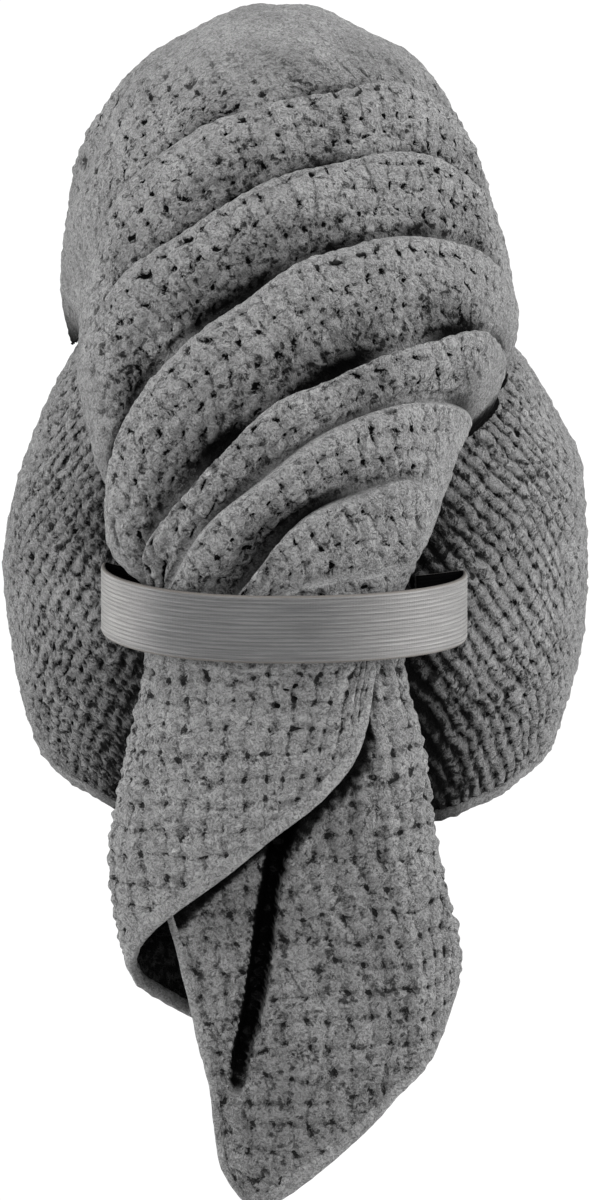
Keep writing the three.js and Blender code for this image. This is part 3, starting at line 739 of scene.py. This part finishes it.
def make_band():
    middle = 0.64 * UNDER_BAND[0]
    half = 0.38 * TWIST_WIDTH
    out = max(float(twist_section(float(t))[1]) * math.sin(t * DEG) for t in (84, 86, 88, 90)) + GAP
    root = [float(hood_back_at(middle + hand * half, -BAND_LEVEL)) - 3 for hand in (-1, 1)]
    t = np.linspace(0, math.pi, 260)
    side = -np.cos(t)
    x = middle + half * np.sign(side) * np.abs(side) ** (2 / 2.8)
    start = mix(root[0], root[1], t / math.pi)
    y = start - (out + start) * np.sin(t) ** (2 / 2.8)
    tab = np.linspace(0.74, 0.97, 14)
    x = np.concatenate([middle - half * tab, x, middle + half * tab[::-1]])
    lie = np.array([float(hood_back_at(v, -BAND_LEVEL)) for v in x]) - SEAT - BAND_THICK - 0.4
    y = np.concatenate([lie[:14], y, lie[-14:]])
    path = np.stack([x, y], -1)
    step = np.gradient(path, axis=0)
    step /= np.linalg.norm(step, axis=1, keepdims=True) + 1e-9
    outwards = np.stack([step[:, 1], -step[:, 0]], -1)
    reach = (x - middle) / half
    level = -BAND_LEVEL - 1 + 2.5 * reach * reach + 2.2 * np.maximum(0, -reach) ** 3
    rings = []
    for share in np.linspace(-0.5, 0.5, BAND_LINES):
        rib = 0.07 * math.cos(share * 2 * math.pi * BAND_RIBS) - 0.6 * max(0.0, abs(share) - 0.465) / 0.035
        rings.append((path + outwards * (BAND_THICK + rib - 0.1), share))
    rings += [(path, share) for share in (0.5, 0.0, -0.5)]
    grid = np.stack([np.stack([*p.T, level + share * BAND_HEIGHT], -1) for p, share in rings], axis=1)
    rows, cols = grid.shape[:2]
    across = np.array([share for _, share in rings])
    run = np.concatenate([[0], np.cumsum(np.linalg.norm(np.diff(path, axis=0), axis=1))])
    wide = np.concatenate([across + 0.5, across[:1] + 0.5])
    u = np.repeat(run[:, None] / 100, cols + 1, axis=1)
    pair = [np.stack([w[:-1, :-1], w[1:, :-1], w[1:, 1:], w[:-1, 1:]], -1) for w in (u, wide + 0 * u)]
    uvs = np.stack([q.reshape(-1) for q in pair], -1)
    faces = quads(rows, cols, True).tolist()
    faces += end_caps(rows, cols)
    # Painted shade: the band's three inner rings, its face against the hood, are painted black.
    painted_shade = np.concatenate([np.zeros(BAND_LINES), np.ones(3)])
    return build("band_strap", grid.reshape(-1, 3), faces, uvs, np.tile(painted_shade, rows))


# Materials
def new_material(name):
    mat = bpy.data.materials.new(name)
    mat.use_nodes = True
    nodes = mat.node_tree.nodes
    return mat, nodes, mat.node_tree.links, nodes["Principled BSDF"]


def maths(nodes, links, kind, a, b=None):
    """One shader sum of outputs or numbers."""
    node = nodes.new("ShaderNodeMath")
    node.operation = kind
    for i, value in enumerate((a, b)):
        if value is None:
            continue
        if isinstance(value, (int, float)):
            node.inputs[i].default_value = value
        else:
            links.new(value, node.inputs[i])
    return node.outputs[0]


def ramp(nodes, links, value, low, high, start, end):
    """A shader value eased from start to end between low and high."""
    node = nodes.new("ShaderNodeMapRange")
    node.interpolation_type = "SMOOTHSTEP"
    links.new(value, node.inputs["Value"])
    node.inputs["From Min"].default_value = low
    node.inputs["From Max"].default_value = high
    node.inputs["To Min"].default_value = start
    node.inputs["To Max"].default_value = end
    return node.outputs["Result"]


def noise(nodes, links, where, scale, detail=3.0, curl=0.0):
    node = nodes.new("ShaderNodeTexNoise")
    links.new(where, node.inputs["Vector"])
    node.inputs["Scale"].default_value = scale
    node.inputs["Detail"].default_value = detail
    node.inputs["Roughness"].default_value = 0.65
    node.inputs["Distortion"].default_value = curl
    return node.outputs["Fac"]


def blend(nodes, links, share, start, end):
    """A colour from start to end, each an output or three numbers."""
    node = nodes.new("ShaderNodeMix")
    node.data_type = "RGBA"
    links.new(share, node.inputs["Factor"])
    for name, value in (("A", start), ("B", end)):
        if isinstance(value, tuple):
            node.inputs[name].default_value = (*value, 1)
        else:
            links.new(value, node.inputs[name])
    return node.outputs["Result"]


def share_of(nodes, label):
    """A mesh attribute as a shader value."""
    node = nodes.new("ShaderNodeAttribute")
    node.attribute_name = label
    return node.outputs["Fac"]


def raise_pile(nodes, links, skin, height, distance, strength=1.0):
    bump = nodes.new("ShaderNodeBump")
    bump.inputs["Strength"].default_value = strength
    bump.inputs["Distance"].default_value = distance
    links.new(height, bump.inputs["Height"])
    links.new(bump.outputs["Normal"], skin.inputs["Normal"])


def towelling(name):
    mat, nodes, links, skin = new_material(name)

    def calc(kind, a, b=None):
        return maths(nodes, links, kind, a, b)

    where = nodes.new("ShaderNodeTexCoord").outputs["Object"]
    cells = nodes.new("ShaderNodeUVMap")
    cells.uv_map = "cells"
    parts = nodes.new("ShaderNodeSeparateXYZ")
    links.new(cells.outputs["UV"], parts.inputs[0])
    sway = noise(nodes, links, where, 150, 2)
    fray = noise(nodes, links, where, 560, 3, 0.8)
    fuzz = noise(nodes, links, where, 640, 4, 1.6)
    fine = noise(nodes, links, where, 1500, 2)
    clump = noise(nodes, links, where, 330, 3, 0.2)
    patch = noise(nodes, links, where, 52, 2)
    shade = share_of(nodes, "painted_shade")
    rough = calc("SUBTRACT", 1, share_of(nodes, "calm"))
    # Painted shade: the pits at the cell corners and the lines between the cells are painted black, as
    # shade in these hollows.
    away = []
    for axis, size in ((0, CELL_WIDE), (1, CELL_TALL)):
        shifted = calc("ADD", parts.outputs[axis], calc("MULTIPLY", calc("SUBTRACT", sway, 0.5), 0.25))
        middle = calc("ABSOLUTE", calc("SUBTRACT", calc("FRACT", shifted), 0.5))
        away.append(calc("MULTIPLY", calc("SUBTRACT", 0.5, middle), size))
    squares = [calc("MULTIPLY", a, a) for a in away]
    reach = calc("SQRT", calc("ADD", *squares))
    rub = calc("MULTIPLY", calc("SUBTRACT", fray, 0.5), 6.0)
    torn = calc("ADD", calc("ADD", reach, rub), calc("MULTIPLY", calc("SUBTRACT", patch, 0.5), 2.6))
    pit = ramp(nodes, links, torn, 0.5, 1.35, 1, 0)
    upright_line_shade = ramp(nodes, links, calc("ADD", away[0], rub), -0.4, 0.5, 0.6, 0)
    level = ramp(nodes, links, calc("ADD", away[1], rub), -0.5, 0.4, 0.5, 0)
    pit_shade_mask = calc("MAXIMUM", pit, calc("MAXIMUM", upright_line_shade, level))
    # More painted-black gaps between tufts where the painted shade is deeper.
    sunk = calc("MULTIPLY", calc("MULTIPLY", shade, rough), 0.2)
    tuft_gap_shade = ramp(nodes, links, calc("ADD", clump, sunk), 0.57, 0.73, 0, 0.9)
    pit_shade_mask = calc("MULTIPLY", calc("MAXIMUM", pit_shade_mask, tuft_gap_shade), rough)
    grain = calc("ADD", calc("MULTIPLY", fuzz, 0.75), calc("MULTIPLY", fine, 0.25))
    lit = ramp(nodes, links, grain, 0.35, 0.62, 0, 1)
    pale = blend(nodes, links, lit, (0.13, 0.13, 0.13), (0.405, 0.405, 0.405))
    # Painted shade: the colour is darkened by the painted shade share.
    keep = calc("SUBTRACT", 1, calc("MULTIPLY", ramp(nodes, links, shade, 0, 1, 0, 1), 0.98))
    scale = nodes.new("ShaderNodeVectorMath")
    scale.operation = "SCALE"
    links.new(pale, scale.inputs[0])
    patchy = ramp(nodes, links, patch, 0.3, 0.7, 0.88, 1.12)
    links.new(calc("MULTIPLY", patchy, keep), scale.inputs["Scale"])
    colour = blend(nodes, links, pit_shade_mask, scale.outputs["Vector"], SHADE_BLACK)
    links.new(colour, skin.inputs["Base Color"])
    height = calc("SUBTRACT", calc("MULTIPLY", grain, 1.7), calc("MULTIPLY", pit_shade_mask, 0.9))
    raise_pile(nodes, links, skin, height, 0.0012)
    # The sheen is taken away where shade is painted and in the painted-black pits.
    glow = calc("MULTIPLY", calc("MULTIPLY", keep, calc("SUBTRACT", 1, pit_shade_mask)), 0.16)
    links.new(glow, skin.inputs["Sheen Weight"])
    skin.inputs["Roughness"].default_value = 1
    skin.inputs["Specular IOR Level"].default_value = 0.02
    skin.inputs["Sheen Roughness"].default_value = 0.7
    return mat


def elastic():
    mat, nodes, links, skin = new_material("elastic")

    def calc(kind, a, b=None):
        return maths(nodes, links, kind, a, b)

    where = nodes.new("ShaderNodeTexCoord").outputs["Object"]
    places = nodes.new("ShaderNodeSeparateXYZ")
    links.new(where, places.inputs[0])
    strap = nodes.new("ShaderNodeUVMap")
    strap.uv_map = "cells"
    parts = nodes.new("ShaderNodeSeparateXYZ")
    links.new(strap.outputs["UV"], parts.inputs[0])
    # Painted light: the band is painted lighter towards both ends and darker in the middle.
    side = ramp(nodes, links, places.outputs[0], -0.062, -0.04, 1, 0)
    right = ramp(nodes, links, places.outputs[0], 0.002, 0.042, 0, 0.72)
    pale = calc("MAXIMUM", side, right)
    stretch = nodes.new("ShaderNodeMapping")
    links.new(strap.outputs["UV"], stretch.inputs["Vector"])
    stretch.inputs["Scale"].default_value = (4, 44, 1)
    threads = noise(nodes, links, stretch.outputs["Vector"], 1, 4)
    weave = nodes.new("ShaderNodeTexWave")
    weave.bands_direction = "X"
    links.new(strap.outputs["UV"], weave.inputs["Vector"])
    weave.inputs["Scale"].default_value = 34
    weave.inputs["Distortion"].default_value = 2
    wander = calc("MULTIPLY", calc("SUBTRACT", threads, 0.5), 0.5)
    rib = calc("FRACT", calc("ADD", calc("MULTIPLY", parts.outputs[1], BAND_RIBS), wander))
    furrow = ramp(nodes, links, calc("ABSOLUTE", calc("SUBTRACT", rib, 0.5)), 0.2, 0.5, 0, 1)
    strand = ramp(nodes, links, threads, 0.25, 0.75, 0.15, 1)
    # Painted shade: the furrows between the ribs are painted darker.
    strand = calc("MULTIPLY", strand, calc("SUBTRACT", 1, calc("MULTIPLY", furrow, 0.45)))
    # A shaded and a lit copy of the band's colour for the painted light.
    shaded_band_colour = blend(nodes, links, strand, (0.07, 0.07, 0.072), (0.2, 0.2, 0.2))
    lit_band_colour = blend(nodes, links, strand, (0.19, 0.187, 0.183), (0.43, 0.42, 0.41))
    body = blend(nodes, links, pale, shaded_band_colour, lit_band_colour)
    off_middle = calc("ABSOLUTE", calc("SUBTRACT", parts.outputs[1], 0.5))
    rim = ramp(nodes, links, off_middle, 0.46, 0.49, 0, 0.8)
    edged = blend(nodes, links, rim, body, (0.13, 0.112, 0.095))
    # Painted shade: the band's inner face is painted black, and its shine is taken away there.
    painted_inner_shade = share_of(nodes, "painted_shade")
    links.new(blend(nodes, links, painted_inner_shade, edged, SHADE_BLACK), skin.inputs["Base Color"])
    woven = calc("ADD", calc("MULTIPLY", threads, 0.5), calc("MULTIPLY", weave.outputs["Fac"], 0.15))
    height = calc("SUBTRACT", woven, furrow)
    raise_pile(nodes, links, skin, height, 0.0004, 0.8)
    outside = calc("SUBTRACT", 1, painted_inner_shade)
    links.new(calc("MULTIPLY", outside, 0.4), skin.inputs["Specular IOR Level"])
    links.new(calc("MULTIPLY", outside, 0.12), skin.inputs["Sheen Weight"])
    skin.inputs["Roughness"].default_value = 0.55
    return mat


CLOTH_LOOK = towelling("towelling")
HEM_LOOK = towelling("hem")
BAND_LOOK = elastic()

PIECES = [
    (make_hood, "hood", "towelling", CLOTH_LOOK),
    (make_hood_hem, "hood_hem", "hem", HEM_LOOK),
    (make_twist, "crown_twist", "towelling", CLOTH_LOOK),
    (make_band, "elastic_band", "elastic", BAND_LOOK),
    (make_tail, "tail", "towelling", CLOTH_LOOK),
    (make_tail_hem, "tail_hem", "hem", HEM_LOOK),
]
for make, node, slot_name, look in PIECES:
    piece = make()
    piece.data.materials.append(look)
    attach(piece, "root")
    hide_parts(node)

# Ground, lights and camera
pale, pale_nodes, pale_links, pale_skin = new_material("ground_pale")
pale_skin.inputs["Roughness"].default_value = 0.9
speck = noise(pale_nodes, pale_links, pale_nodes.new("ShaderNodeTexCoord").outputs["Object"], 9, 3)
speckled = blend(pale_nodes, pale_links, speck, (0.8, 0.8, 0.8), (0.86, 0.86, 0.86))
pale_links.new(speckled, pale_skin.inputs["Base Color"])
bpy.ops.mesh.primitive_circle_add(vertices=96, radius=1.5, fill_type="NGON", location=(0, 0, -0.74))
ground = bpy.context.object
ground.name = "ground"
ground.data.materials.append(pale)


def area_light(name, place, aim, size, power):
    data = bpy.data.lights.new(name, "AREA")
    data.shape = "RECTANGLE"
    data.size, data.size_y = size
    data.energy = power
    lamp = bpy.data.objects.new(name, data)
    bpy.context.collection.objects.link(lamp)
    lamp.location = place
    lamp.rotation_euler = (Vector(aim) - Vector(place)).to_track_quat("-Z", "Y").to_euler()
    return lamp


area_light("top_light", (0.0, -0.35, 1.2), (0, -0.05, -0.05), (0.8, 0.6), 9.5)
area_light("left_light", (-1.2, -0.42, 0.1), (0, -0.02, -0.12), (0.6, 1.0), 12)
area_light("right_light", (1.2, -0.42, 0.15), (0, -0.02, -0.12), (0.6, 1.0), 15)
area_light("front_light", (0.0, -2.2, 0.7), (0, 0, -0.15), (0.9, 0.6), 8)

world = bpy.data.worlds.new("studio")
bpy.context.scene.world = world
world.use_nodes = True
sky, sky_links = world.node_tree.nodes, world.node_tree.links
toward = sky.new("ShaderNodeVectorMath")
toward.operation = "DOT_PRODUCT"
sky_links.new(sky.new("ShaderNodeTexCoord").outputs["Generated"], toward.inputs[0])
toward.inputs[1].default_value = (0, 0.9954, -0.0958)
glow = ramp(sky, sky_links, toward.outputs["Value"], 0.86, 0.97, 0.38, 1.05)
sky_links.new(glow, sky["Background"].inputs["Strength"])
sky["Background"].inputs["Color"].default_value = (1, 1, 1, 1)
bpy.context.scene.view_settings.view_transform = "Standard"

lens = bpy.data.cameras.new("photo_camera")
lens.lens = 36 * 1.8 / 0.42
lens.clip_end = 20
camera = bpy.data.objects.new("photo_camera", lens)
bpy.context.collection.objects.link(camera)
tilt = 5.5 * DEG
camera.location = (0, -0.02 - 1.8 * math.cos(tilt), -0.128 + 1.8 * math.sin(tilt))
camera.rotation_euler = (90 * DEG - tilt, 0, 0)
bpy.context.scene.camera = camera
